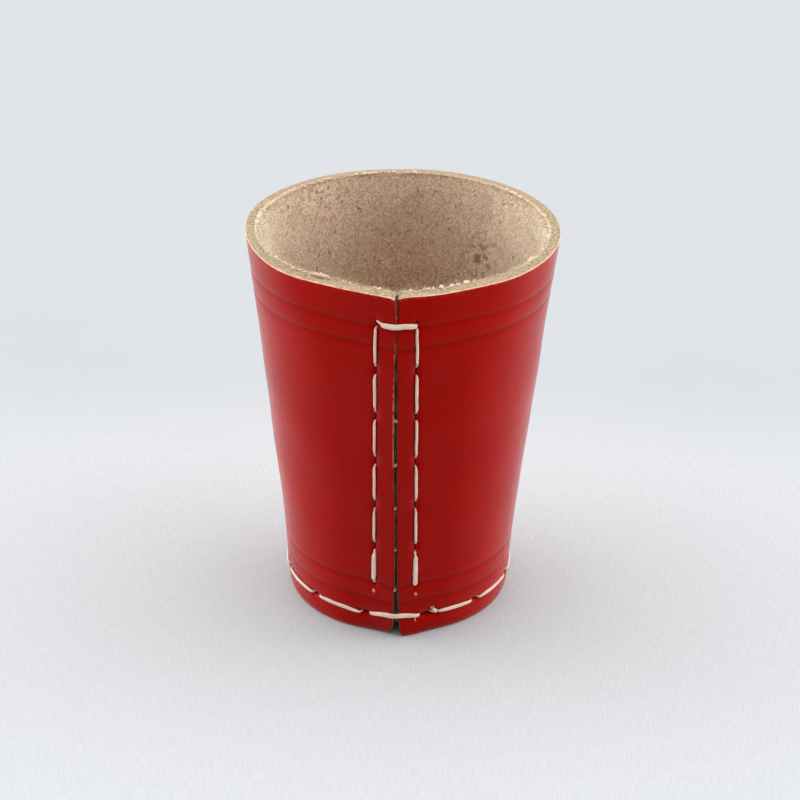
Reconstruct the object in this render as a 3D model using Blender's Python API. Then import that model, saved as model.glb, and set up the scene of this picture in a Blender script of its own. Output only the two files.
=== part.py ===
"""Leather dice cup, in metres, +Z up.

A flat leather blank is rolled into a cone, wider at the mouth, and its two ends are butt stitched
at the front (-Y). A pressed leather base, flange down, is saddle stitched into its foot.
The origin is on the table, under the middle of the box round the whole cup.
"""

import math

import bmesh
import bpy
from mathutils import Matrix, Vector

# Driving dimensions
HEIGHT = 0.100
RIM_RADIUS = 0.0375  # of the grain (outer) side at the mouth
FOOT_RADIUS = 0.0276  # of the grain side on the table
LEATHER = 0.0028
RIM_FLAT_ANGLE = math.radians(26.3)  # how far round from the seam the wall stays straight, at the mouth
FOOT_FLAT_ANGLE = math.radians(23.4)  # and at the foot
CLEARANCE = 0.0003  # between leather and leather

# Seam: the gap between the two ends of the blank, which opens towards the foot
GAP_HEIGHTS = (0.0, 0.004, 0.009, 0.014, 0.050, 0.077, 0.090, HEIGHT)
GAP_ON_GRAIN_SIDE = (0.0034, 0.0024, 0.0018, 0.0014, 0.0010, 0.0010, 0.0004, 0.0005)
GAP_ON_FLESH_SIDE = (0.0022, 0.0014, 0.0010, 0.0008, 0.0006, 0.0006, 0.0003, 0.0003)

# Decorative lines pressed into the grain side
CREASE_HEIGHTS = (0.0112, 0.0166, 0.0865, 0.0917)
CREASE_HALF_WIDTH = 0.0006
CREASE_DEPTH = 0.00025

# Columns of faces round the wall
FLAT_COLUMNS = 3
ARC_COLUMNS = 60

# Base, an upside-down dish
FLOOR_HEIGHT = 0.014  # top of the floor inside the cup
BASE_LEATHER = 0.0025
FLANGE_FOOT = 0.0025
BASE_BEND = 0.0030  # outer radius of the bend between floor and flange
NOSE_RADIUS = 0.0034  # the base's front corner, behind the seam
BASE_STEPS = 72

# Threads
THREAD_RADIUS = 0.000425
THREAD_GAP = 0.00015  # between thread and leather
STANDOFF = THREAD_RADIUS + THREAD_GAP
TURN_IN = THREAD_RADIUS  # how far beside a hole's axis the thread leaves the surface
MOUTH = THREAD_GAP  # how far out of the leather it has turned into the hole

# Stitching up the seam
SEAM_ROWS = 7
TOP_ROW = 0.0930
ROW_PITCH = 0.01295
SEAM_MARGIN_TOP = 0.00525  # from the ridge to the holes, along the flat, at the mouth
SEAM_MARGIN_FOOT = 0.00565  # and at the foot
SEAM_SLIT = (0.0040, 0.00115)  # length, width
SEAM_PASS = 0.0013  # how far the two strands in a slit are from its middle
CROSSING_BOW = 0.00125  # how much further in one strand runs where the two cross
SEAM_TAIL = 0.0040

# Stitching round the foot
BASE_HOLES = 12
BASE_ROW = 0.0062
BASE_SLIT = (0.0037, 0.00115)
BASE_PASS = 0.0012
BASE_CROSSING = 0.0011  # height between the two strands where they pass each other inside
BASE_TAIL = 0.0019

SLIT_SIDES = 12
RED = (0.47, 0.012, 0.008, 1.0)
TAN = (0.42, 0.25, 0.14, 1.0)
CREAM = (0.80, 0.74, 0.64, 1.0)


def blend(low, high, share):
    return low + (high - low) * share


def at_height(height, heights, values):
    """Value at this height of a line drawn through the given points."""
    for lower in range(len(heights) - 1):
        if height <= heights[lower + 1]:
            break
    share = (height - heights[lower]) / (heights[lower + 1] - heights[lower])
    return blend(values[lower], values[lower + 1], share)


def radius_at(height):
    return blend(FOOT_RADIUS, RIM_RADIUS, height / HEIGHT)


def flat_angle_at(height):
    return blend(FOOT_FLAT_ANGLE, RIM_FLAT_ANGLE, height / HEIGHT)


def ridge_at(height):
    """Distance from the cone's axis to the ridge line where the two flats would meet."""
    return radius_at(height) / math.cos(flat_angle_at(height))


def axis_y():
    """Where the cone's axis stands, to put the origin midway between the front thread and the back."""
    bar = TOP_ROW + SEAM_PASS
    front = ridge_at(bar) + STANDOFF * math.cos(flat_angle_at(bar)) + THREAD_RADIUS
    return (front - RIM_RADIUS) / 2


AXIS_Y = axis_y()


def flat_point(side, along, height, depth):
    """Point on a flat (side -1 or 1), by its way from the ridge and its depth under the grain side."""
    angle = flat_angle_at(height)
    across = along * math.cos(angle) - depth * math.sin(angle)
    back = along * math.sin(angle) + depth * math.cos(angle)
    return Vector((side * across, AXIS_Y - ridge_at(height) + back, height))


def wall_point(turn, height, depth):
    """Point of the wall at this angle round the axis; turn is 0 at the seam and grows towards +X."""
    radius = radius_at(height)
    angle = flat_angle_at(height)
    if abs(turn) < angle:
        along = radius * (math.tan(angle) - math.tan(angle - abs(turn)))
        return flat_point(math.copysign(1, turn), along, height, depth)
    out = radius - depth
    return Vector((out * math.sin(turn), AXIS_Y - out * math.cos(turn), height))


def blank_point(column, height, depth):
    """Place in the rolled wall of a point of the flat blank; columns run from one end of it to the other."""
    columns = 2 * FLAT_COLUMNS + ARC_COLUMNS
    side = -1 if column < columns / 2 else 1
    from_end = min(column, columns - column)
    angle = flat_angle_at(height)
    if from_end >= FLAT_COLUMNS:
        share = (from_end - FLAT_COLUMNS) / (ARC_COLUMNS / 2)
        return wall_point(side * blend(angle, math.pi, share), height, depth)
    grain_gap = at_height(height, GAP_HEIGHTS, GAP_ON_GRAIN_SIDE)
    flesh_gap = at_height(height, GAP_HEIGHTS, GAP_ON_FLESH_SIDE)
    half_gap = blend(grain_gap, flesh_gap, depth / LEATHER) / 2
    start = (half_gap + depth * math.sin(angle)) / math.cos(angle)
    along = blend(start, radius_at(height) * math.tan(angle), from_end / FLAT_COLUMNS)
    return flat_point(side, along, height, depth)


def blank_rows():
    """Heights of the blank's rows: where the gap bends, and three across each crease."""
    creases = [
        crease + offset * CREASE_HALF_WIDTH
        for crease in CREASE_HEIGHTS
        for offset in (-1, 0, 1)
    ]
    return sorted(list(GAP_HEIGHTS) + creases)


def material(name, colour, roughness):
    made = bpy.data.materials.new(name)
    made.use_nodes = True
    made.diffuse_color = colour
    shader = made.node_tree.nodes["Principled BSDF"]
    shader.inputs["Base Color"].default_value = colour
    shader.inputs["Roughness"].default_value = roughness
    shader.inputs["Metallic"].default_value = 0.0
    return made


def clear_scene():
    for obj in list(bpy.data.objects):
        bpy.data.objects.remove(obj, do_unlink=True)


def new_collection(name):
    made = bpy.data.collections.new(name)
    bpy.context.scene.collection.children.link(made)
    return made


def mesh_object(name, bm, collection):
    mesh = bpy.data.meshes.new(name)
    bmesh.ops.recalc_face_normals(bm, faces=bm.faces[:])
    bm.to_mesh(mesh)
    bm.free()
    made = bpy.data.objects.new(name, mesh)
    collection.objects.link(made)
    return made


def smooth(obj):
    obj.data.shade_smooth()
    obj.data.set_sharp_from_angle(angle=math.radians(35))


def cut(obj, cutters):
    """Cuts every object of a collection of cutters out of obj."""
    boolean = obj.modifiers.new("slits", "BOOLEAN")
    boolean.operation = "DIFFERENCE"
    boolean.operand_type = "COLLECTION"
    boolean.collection = cutters
    boolean.solver = "EXACT"


def slit_frame(middle, along, inward):
    """Matrix that lays X along a slit and Z through the leather."""
    through = (inward - along * inward.dot(along)).normalized()
    across = through.cross(along)
    axes = Matrix((along, across, through)).transposed().to_4x4()
    axes.translation = middle
    return axes


def slit_cutter(name, size, depth, frame, collection):
    """A prism with round ends, which cuts one awl slit."""
    length, width = size
    bm = bmesh.new()
    bmesh.ops.create_cone(
        bm,
        cap_ends=True,
        segments=SLIT_SIDES,
        radius1=width / 2,
        radius2=width / 2,
        depth=depth,
        matrix=Matrix.Rotation(math.pi / SLIT_SIDES, 4, "Z"),
    )
    for vert in bm.verts:
        vert.co.x += math.copysign((length - width) / 2, vert.co.x)
    cutter = mesh_object(name, bm, collection)
    cutter.matrix_world = frame
    cutter.hide_render = True
    cutter.display_type = "WIRE"


def seam_rows():
    return [TOP_ROW - row * ROW_PITCH for row in range(SEAM_ROWS)]


def seam_margin(height):
    return blend(SEAM_MARGIN_FOOT, SEAM_MARGIN_TOP, height / HEIGHT)


def seam_point(side, height, depth):
    """Point over, in or under the line of holes beside the seam."""
    return flat_point(side, seam_margin(height), height, depth)


def seam_slits(collection):
    for row, height in enumerate(seam_rows()):
        for side, word in ((-1, "left"), (1, "right")):
            above = seam_point(side, height + SEAM_PASS, LEATHER / 2)
            below = seam_point(side, height - SEAM_PASS, LEATHER / 2)
            inward = seam_point(side, height, LEATHER) - seam_point(side, height, 0)
            middle = (above + below) / 2
            frame = slit_frame(middle, (above - below).normalized(), inward.normalized())
            slit_cutter(f"seam_slit_{word}_{row}", SEAM_SLIT, 2 * LEATHER, frame, collection)


def base_turn(hole):
    """Angle round the axis of a hole of the base row; hole 0 is the first to the right of the seam."""
    turn = 2 * math.pi * (hole + 0.5) / BASE_HOLES
    return turn if turn <= math.pi else turn - 2 * math.pi


def base_axes(hole):
    """Outer middle of a hole of the base row, the way along its slit, and the way in."""
    turn = base_turn(hole)
    step = math.radians(1)
    middle = wall_point(turn, BASE_ROW, 0)
    along = (wall_point(turn + step, BASE_ROW, 0) - wall_point(turn - step, BASE_ROW, 0)).normalized()
    return middle, along, Vector((0, 0, 1)).cross(along)


def base_point(hole, along, lift, depth):
    """Point in or by a hole of the base row, along its slit, above it and under the grain side."""
    middle, way, inward = base_axes(hole)
    return middle + way * along + inward * depth + Vector((0, 0, lift))


def base_slits(collection):
    depth = LEATHER + CLEARANCE + BASE_LEATHER
    for hole in range(BASE_HOLES):
        middle, along, inward = base_axes(hole)
        frame = slit_frame(middle + inward * depth / 2, along, inward)
        slit_cutter(f"base_slit_{hole}", BASE_SLIT, 1.6 * depth, frame, collection)


def cup_wall(parts, seam_cutters, base_cutters):
    """The blank as a flat grid of unit thickness, then rolled."""
    rows = blank_rows()
    columns = 2 * FLAT_COLUMNS + ARC_COLUMNS
    bm = bmesh.new()
    bmesh.ops.create_grid(bm, x_segments=columns, y_segments=len(rows) - 1, size=0.5)
    flesh = bmesh.ops.extrude_face_region(bm, geom=bm.faces[:])
    flesh_side = {item for item in flesh["geom"] if isinstance(item, bmesh.types.BMVert)}
    for vert in bm.verts:
        column = round((vert.co.x + 0.5) * columns)
        height = rows[round((vert.co.y + 0.5) * (len(rows) - 1))]
        depth = CREASE_DEPTH if height in CREASE_HEIGHTS else 0
        if vert in flesh_side:
            depth = LEATHER
        vert.co = blank_point(column, height, depth)
    bmesh.ops.triangulate(bm, faces=bm.faces[:])
    wall = mesh_object("cup_wall", bm, parts)
    wall.data.materials.append(material("red_leather", RED, 0.38))
    smooth(wall)
    cut(wall, seam_cutters)
    cut(wall, base_cutters)


def base_profile():
    """Section of the base from the middle of the floor out, down the flange and back, as (inset, height)."""
    quarter = [math.radians(angle) for angle in (0, 30, 60, 90)]
    bend_foot = FLOOR_HEIGHT - BASE_BEND
    bend = [
        (BASE_BEND * (1 - math.sin(angle)), bend_foot + BASE_BEND * math.cos(angle))
        for angle in quarter
    ]
    inside = [
        (0, FLANGE_FOOT),
        (BASE_LEATHER, FLANGE_FOOT),
        (BASE_LEATHER, bend_foot),
        (BASE_BEND, FLOOR_HEIGHT - BASE_LEATHER),
    ]
    return bend + inside


def base_radius(height):
    return radius_at(height) - LEATHER - CLEARANCE


def base_place(turn, inset, height):
    """Place of a point of the base whose outward direction is turn, inset from the base's outer face."""
    angle = flat_angle_at(height)
    radius = base_radius(height)
    out = Vector((math.sin(turn), -math.cos(turn), 0))
    if abs(turn) >= angle:
        return Vector((0, AXIS_Y, height)) + out * (radius - inset)
    nose = (radius - NOSE_RADIUS) / math.cos(angle)
    return Vector((0, AXIS_Y - nose, height)) + out * (NOSE_RADIUS - inset)


def cup_base(parts, base_cutters):
    """The section spun round, then drawn out to a corner behind the seam."""
    bm = bmesh.new()
    profile = [(base_radius(height) - inset, height) for inset, height in base_profile()]
    middle_bottom = (0, FLOOR_HEIGHT - BASE_LEATHER)
    section = [(0, FLOOR_HEIGHT)] + profile + [middle_bottom]
    verts = [bm.verts.new((0, -radius, height)) for radius, height in section]
    edges = [bm.edges.new(pair) for pair in zip(verts, verts[1:])]
    bmesh.ops.spin(
        bm,
        geom=verts + edges,
        axis=(0, 0, 1),
        cent=(0, 0, 0),
        angle=2 * math.pi,
        steps=BASE_STEPS,
        use_merge=True,
    )
    bmesh.ops.remove_doubles(bm, verts=bm.verts[:], dist=0.00001)
    for vert in bm.verts:
        radius = math.hypot(vert.co.x, vert.co.y)
        if radius < CLEARANCE:
            vert.co.y = AXIS_Y
            continue
        turn = math.atan2(vert.co.x, -vert.co.y)
        vert.co = base_place(turn, base_radius(vert.co.z) - radius, vert.co.z)
    bmesh.ops.triangulate(bm, faces=bm.faces[:])
    base = mesh_object("cup_base", bm, parts)
    base.data.materials.append(material("base_leather", TAN, 0.6))
    smooth(base)
    cut(base, base_cutters)


def thread(name, route, parts):
    """A round thread along a list of points."""
    curve = bpy.data.curves.new(name, "CURVE")
    curve.dimensions = "3D"
    curve.bevel_depth = THREAD_RADIUS
    curve.bevel_resolution = 2
    curve.use_fill_caps = True
    spline = curve.splines.new("POLY")
    spline.points.add(len(route) - 1)
    for point, place in zip(spline.points, route):
        point.co = (*place, 1)
    curve.materials.append(material(name + "_white", CREAM, 0.7))
    made = bpy.data.objects.new(name, curve)
    parts.objects.link(made)


def seam_pass(side, height):
    """Through the wall at a hole beside the seam, from outside to inside."""
    return [
        seam_point(side, height, -MOUTH),
        seam_point(side, height, LEATHER + MOUTH),
        seam_point(side, height, LEATHER + STANDOFF),
    ]


def seam_dash(side, upper, lower):
    """One stitch on the grain side, from a hole down to the next."""
    return [
        seam_point(side, upper - TURN_IN, -STANDOFF),
        seam_point(side, lower + TURN_IN, -STANDOFF),
    ]


def seam_strand(first_side, bow):
    """One half of the seam's thread, from its top hole down, changing sides inside at each row."""
    rows = seam_rows()
    route = []
    side = first_side
    for row, height in enumerate(rows):
        route += seam_pass(side, height + SEAM_PASS)
        if row == SEAM_ROWS - 1:
            break
        inside = seam_point(side, height, LEATHER + STANDOFF)
        route.append(Vector((0, inside.y + bow, height)))
        side = -side
        route += reversed(seam_pass(side, height - SEAM_PASS))
        route += seam_dash(side, height - SEAM_PASS, rows[row + 1] + SEAM_PASS)
    end = route[-1]
    route.append(Vector((end.x * 0.4, end.y, end.z)))
    route.append(Vector((end.x * 0.3, end.y + THREAD_RADIUS, end.z + SEAM_TAIL)))
    return route


def seam_thread(parts):
    """One thread whose middle lies across the top of the seam."""
    bar = TOP_ROW + SEAM_PASS
    margin = seam_margin(bar)
    over = [
        flat_point(side, along, bar, -STANDOFF)
        for side, along in ((-1, margin - TURN_IN), (-1, 0), (1, 0), (1, margin - TURN_IN))
    ]
    left = seam_strand(-1, 0)
    right = seam_strand(1, CROSSING_BOW)
    thread("seam_thread", left[::-1] + over + right, parts)


def base_outer_run(hole):
    """A stitch on the grain side from this hole to the next, round the wall."""
    after = (hole + 1) % BASE_HOLES
    step = 2 * math.pi / BASE_HOLES
    leaving = [
        base_point(hole, BASE_PASS, 0, -MOUTH),
        base_point(hole, BASE_PASS + TURN_IN, 0, -STANDOFF),
    ]
    arriving = [
        base_point(after, -BASE_PASS - TURN_IN, 0, -STANDOFF),
        base_point(after, -BASE_PASS, 0, -MOUTH),
    ]
    if after == 0:
        corner = [flat_point(side, 0, BASE_ROW, -STANDOFF) for side in (-1, 1)]
        return leaving + corner + arriving
    between = [
        wall_point(base_turn(hole) + step * share, BASE_ROW, -STANDOFF) for share in (0.3, 0.5, 0.7)
    ]
    return leaving + between + arriving


def inner_depth():
    return LEATHER + CLEARANCE + BASE_LEATHER + STANDOFF


def base_inner_run(hole):
    """A stitch inside the flange from this hole to the next, passing the other strand at both."""
    after = (hole + 1) % BASE_HOLES
    depth = inner_depth()
    if hole == 0:
        leaving = [base_point(hole, BASE_PASS, 0, depth)]
    else:
        leaving = [
            base_point(hole, -BASE_PASS, 0, depth),
            base_point(hole, BASE_PASS, BASE_CROSSING, depth),
        ]
    arriving = [base_point(after, -BASE_PASS, -BASE_CROSSING, depth)]
    if after == 0:
        arriving.append(base_point(after, 0, -BASE_CROSSING, depth))
        arriving.append(base_point(after, 0, 0, depth))
    else:
        arriving.append(base_point(after, BASE_PASS, 0, depth))
    return leaving + arriving


def base_strand(outside_first):
    """One half of the base thread, from the first hole all the way round to it."""
    route = []
    for hole in range(BASE_HOLES):
        outside = (hole % 2 == 0) == outside_first
        route += base_outer_run(hole) if outside else base_inner_run(hole)
    return route


def base_thread(parts):
    """One thread: both halves leave the first hole, and end in it."""
    depth = inner_depth()
    tail_inside = [
        base_point(0, -BASE_PASS, 0, depth),
        base_point(0, -BASE_PASS, BASE_TAIL, depth),
    ]
    tail_outside = [
        base_point(0, 0, 0, -MOUTH),
        base_point(0, 0, TURN_IN, -STANDOFF),
        base_point(0, BASE_TAIL / 2, BASE_TAIL, -STANDOFF),
    ]
    inner_first = base_strand(False) + tail_inside
    outer_first = base_strand(True) + tail_outside
    thread("base_thread", inner_first[::-1] + outer_first, parts)


def main():
    clear_scene()
    parts = new_collection("leather_dice_cup")
    seam_cutters = new_collection("seam_cutters")
    base_cutters = new_collection("base_cutters")
    seam_slits(seam_cutters)
    base_slits(base_cutters)
    cup_wall(parts, seam_cutters, base_cutters)
    cup_base(parts, base_cutters)
    seam_thread(parts)
    base_thread(parts)


main()
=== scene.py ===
"""The looks of the leather dice cup: rolled red leather, its raw edges, the base and the two threads."""

import math

import bpy
import numpy as np
from mathutils import Matrix, Vector


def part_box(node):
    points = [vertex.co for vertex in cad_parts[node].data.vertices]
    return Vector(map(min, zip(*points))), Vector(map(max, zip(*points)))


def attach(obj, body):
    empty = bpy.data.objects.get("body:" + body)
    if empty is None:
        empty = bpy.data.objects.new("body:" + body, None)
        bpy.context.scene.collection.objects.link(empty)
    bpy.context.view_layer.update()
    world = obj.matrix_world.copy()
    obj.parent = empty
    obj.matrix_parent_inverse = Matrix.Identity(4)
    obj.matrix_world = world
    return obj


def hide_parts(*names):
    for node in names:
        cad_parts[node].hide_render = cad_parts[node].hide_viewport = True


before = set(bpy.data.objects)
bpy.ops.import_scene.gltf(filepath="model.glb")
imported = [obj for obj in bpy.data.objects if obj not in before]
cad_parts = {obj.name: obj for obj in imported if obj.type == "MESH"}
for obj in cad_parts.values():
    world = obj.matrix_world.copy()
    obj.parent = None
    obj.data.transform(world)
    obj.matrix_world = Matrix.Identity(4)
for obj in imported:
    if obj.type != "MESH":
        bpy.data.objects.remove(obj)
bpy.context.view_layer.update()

# Sizes of the cup, in metres, as the CAD has them
MM = 0.001
wall_low, wall_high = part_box("cup_wall")
HEIGHT = wall_high.z - wall_low.z
RIM_RADIUS = (wall_high.x - wall_low.x) / 2
FOOT_RADIUS = 0.736 * RIM_RADIUS
AXIS_Y = wall_high.y - RIM_RADIUS
LEATHER = 2.8 * MM
RIM_FLAT_ANGLE = math.radians(26.3)
FOOT_FLAT_ANGLE = math.radians(23.4)
CREASE_HEIGHTS = (11.2 * MM, 16.6 * MM, 86.5 * MM, 91.7 * MM)

# The gap between the wall's two ends, uneven because the cup was sewn by hand
GAP_HEIGHTS = np.array([0, 4, 9, 14, 20, 37, 46, 60, 70, 77, 84, 89, 93, 96, 100]) * MM
GAP_WIDTHS = np.array([2.6, 2.2, 1.9, 1.6, 1.1, 0.95, 1.1, 1.3, 1.25, 1.15, 0.95, 0.7, 0.65, 0.75, 1.0]) * MM
GAP_DRIFT = 0.45 * MM  # how far the gap wanders from the ridge towards the foot
SLACK = 0.05 * MM  # what is left of the gap on the flesh side, where the two ends almost meet

# Stitching
SEAM_ROWS = 7
TOP_ROW = 93.0 * MM
ROW_PITCH = 12.95 * MM
SEAM_MARGIN_TOP = 5.25 * MM
SEAM_MARGIN_FOOT = 5.65 * MM
SEAM_PASS = 1.3 * MM
TOP_PASS = (0.55 * MM, -0.4 * MM)  # how far over the top row the thread goes in, left and right
BASE_HOLES = 12
BASE_ROW = 6.2 * MM
BASE_PASS = 1.2 * MM
BASE_LEATHER = 2.5 * MM
CLEARANCE = 0.3 * MM
FIRST_HOLE_REACH = 2.4 * MM  # how much further the base hole on the right of the seam was torn open

SEED = 11
UPWARD = np.array([0.0, 0.0, 1.0])


def blend(low, high, share):
    return low + (high - low) * share


def smooth_step(low, high, value):
    share = np.clip((value - low) / (high - low), 0, 1)
    return share * share * (3 - 2 * share)


def bump(value, middle, width):
    """A bell of height 1 round the middle."""
    return np.exp(-(((value - middle) / width) ** 2))


def seam_rows():
    return TOP_ROW - ROW_PITCH * np.arange(SEAM_ROWS)


def seam_margin(height):
    """Way from the ridge to the row of holes beside it."""
    return blend(SEAM_MARGIN_FOOT, SEAM_MARGIN_TOP, height / HEIGHT)


# ---- The rolled wall's shape, the same rules as the CAD's, for whole arrays of points


def radius_at(height):
    return blend(FOOT_RADIUS, RIM_RADIUS, height / HEIGHT)


def flat_angle_at(height):
    return blend(FOOT_FLAT_ANGLE, RIM_FLAT_ANGLE, height / HEIGHT)


def stack(x, y, z):
    return np.stack(np.broadcast_arrays(x, y, z), axis=-1)


def unit(vectors):
    return vectors / np.maximum(np.linalg.norm(vectors, axis=-1, keepdims=True), 1e-12)


# How far the hand-rolled cup is from its true shape. A turn is the angle from the seam, negative to its left
SWELL_HEIGHTS = np.array([0, 6, 14, 25, 85, 100]) * MM
SWELL_AT_SIDES = np.array([0.95, 0.85, 0.45, 0.28, 0.35, 0.62]) * MM
SWELL_LEFT, SWELL_RIGHT = 1.08, 0.92
RIM_STARTS = 78 * MM  # from here up the mouth is pressed in at the front and the back
RIM_PRESS = 0.45 * MM
BEND_TURN = math.radians(31)  # where a flat runs into the round
BEND_PRESS = 0.5 * MM
BLUNT_LEFT, BLUNT_RIGHT = 0.35 * MM, 0.75 * MM  # taken off the ridge at the rim
FOOT_ENDS = 9 * MM  # below this the corners beside the seam are bent
CORNER_IN, CORNER_OUT = 0.65 * MM, 0.60 * MM  # the left one is bent in and the right one out
RIM_RAISE = 0.65 * MM
FOOT_RAISE = 0.35 * MM


def rolled(points):
    """Moves points of the true shape to the hand-rolled one."""
    x, y, z = points[..., 0], points[..., 1] - AXIS_Y, points[..., 2]
    turn = np.arctan2(x, -y)
    left = turn < 0
    sides = np.interp(z, SWELL_HEIGHTS, SWELL_AT_SIDES) * np.sin(turn) ** 2
    sides = sides * np.where(left, SWELL_LEFT, SWELL_RIGHT)
    rim = smooth_step(RIM_STARTS, HEIGHT, z)
    pressed_in = RIM_PRESS * np.cos(turn) ** 2 + BEND_PRESS * bump(np.abs(turn), BEND_TURN, math.radians(10))
    blunt = np.where(turn > 0, BLUNT_RIGHT, BLUNT_LEFT) * bump(turn, 0, math.radians(9))
    pressed_in = pressed_in + blunt * smooth_step(88 * MM, HEIGHT, z)
    foot = 1 - smooth_step(0, FOOT_ENDS, z)
    corner = np.where(left, -CORNER_IN * bump(turn, -0.10, 0.20), CORNER_OUT * bump(turn, 0.15, 0.20))
    corner = corner * smooth_step(0, 0.04, np.abs(turn))
    out = sides - rim * pressed_in + foot * corner
    raised = RIM_RAISE * bump(turn, 0, np.where(left, 0.45, 0.17)) * smooth_step(94.2 * MM, HEIGHT, z)
    raised = raised + FOOT_RAISE * foot**2 * bump(turn, -0.10, 0.28) * left
    return points + stack(out * np.sin(turn), -out * np.cos(turn), raised)


def true_flat_point(side, along, height, depth):
    angle = flat_angle_at(height)
    ridge = radius_at(height) / np.cos(angle)
    across = along * np.cos(angle) - depth * np.sin(angle)
    back = along * np.sin(angle) + depth * np.cos(angle)
    return stack(side * across, AXIS_Y - ridge + back, height)


def flat_point(side, along, height, depth):
    """Point on a flat beside the seam: way from the ridge, height, depth under the grain side."""
    return rolled(true_flat_point(side, along, height, depth))


def flat_length(height):
    return radius_at(height) * np.tan(flat_angle_at(height))


def wall_point(side, along, height, depth):
    """Point of the wall by its way from the ridge along the grain side, over the flat and round the arc."""
    radius = radius_at(height)
    angle = flat_angle_at(height)
    flat = flat_length(height)
    turn = angle + (along - flat) / radius
    out = radius - depth
    round_part = stack(side * out * np.sin(turn), AXIS_Y - out * np.cos(turn), height)
    flat_part = true_flat_point(side, np.minimum(along, flat), height, depth)
    return rolled(np.where((along < flat)[..., None], flat_part, round_part))


def half_girth(height):
    """Way from the ridge to the back of the cup."""
    return flat_length(height) + radius_at(height) * (math.pi - flat_angle_at(height))


def along_of_turn(turn, height):
    """Way from the ridge of the point that stands at this angle round the axis."""
    angle = flat_angle_at(height)
    radius = radius_at(height)
    on_flat = radius * (np.tan(angle) - np.tan(angle - np.minimum(turn, angle)))
    return np.where(turn < angle, on_flat, flat_length(height) + radius * (turn - angle))


# ---- Meshes


def link(name, mesh, materials, slot):
    made = bpy.data.objects.new(name, mesh)
    bpy.context.scene.collection.objects.link(made)
    for item in materials:
        mesh.materials.append(item)
    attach(made, "root")
    return made


def new_mesh(name, points, faces):
    mesh = bpy.data.meshes.new(name)
    mesh.from_pydata(np.asarray(points).reshape(-1, 3).tolist(), [], faces)
    mesh.validate()
    mesh.shade_smooth()
    return mesh


def add_attributes(mesh, **named):
    """Values for the materials to read, one for each point."""
    for name, values in named.items():
        layer = mesh.attributes.new(name, "FLOAT", "POINT")
        layer.data.foreach_set("value", np.ascontiguousarray(values, dtype=np.float32).ravel())


def set_materials(mesh, kinds):
    mesh.polygons.foreach_set("material_index", np.asarray(kinds).astype(np.int32))


def grid_faces(rows, columns, rows_closed=False, columns_closed=False):
    """Quads of a grid of points stored row by row."""
    row = np.arange(rows if rows_closed else rows - 1)[:, None]
    column = np.arange(columns if columns_closed else columns - 1)[None, :]
    next_row = (row + 1) % rows
    next_column = (column + 1) % columns
    corners = [
        row * columns + column,
        row * columns + next_column,
        next_row * columns + next_column,
        next_row * columns + column,
    ]
    return np.stack(np.broadcast_arrays(*corners), axis=-1).reshape(-1, 4).tolist()


KNOTS = 1200


def line_noise(rng, position, knots=KNOTS):
    """A smooth random curve between -1 and 1, read at positions counted in its knots."""
    values = rng.uniform(-1, 1, knots)
    cell = np.floor(position).astype(int)
    share = position - cell
    share = share * share * (3 - 2 * share)
    return blend(values[np.clip(cell, 0, knots - 1)], values[np.clip(cell + 1, 0, knots - 1)], share)


def rough_line(rng, way, *waves):
    """Random values along a way, summed from waves of (strength, length in mm)."""
    return sum(strength * line_noise(rng, way / (length * MM)) for strength, length in waves)


def ripple(rng, shape_u, shape_v, wavelength, waves=10):
    """Soft random relief of height about 1 over two coordinates in metres."""
    total = 0
    for _ in range(waves):
        heading = rng.uniform(0, 2 * math.pi)
        phase = rng.uniform(0, 2 * math.pi)
        size = 2 * math.pi / (wavelength * rng.uniform(0.7, 1.5))
        way = shape_u * math.cos(heading) + shape_v * math.sin(heading)
        total = total + np.cos(size * way + phase)
    return total / math.sqrt(waves)


# ---- Materials


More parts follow.
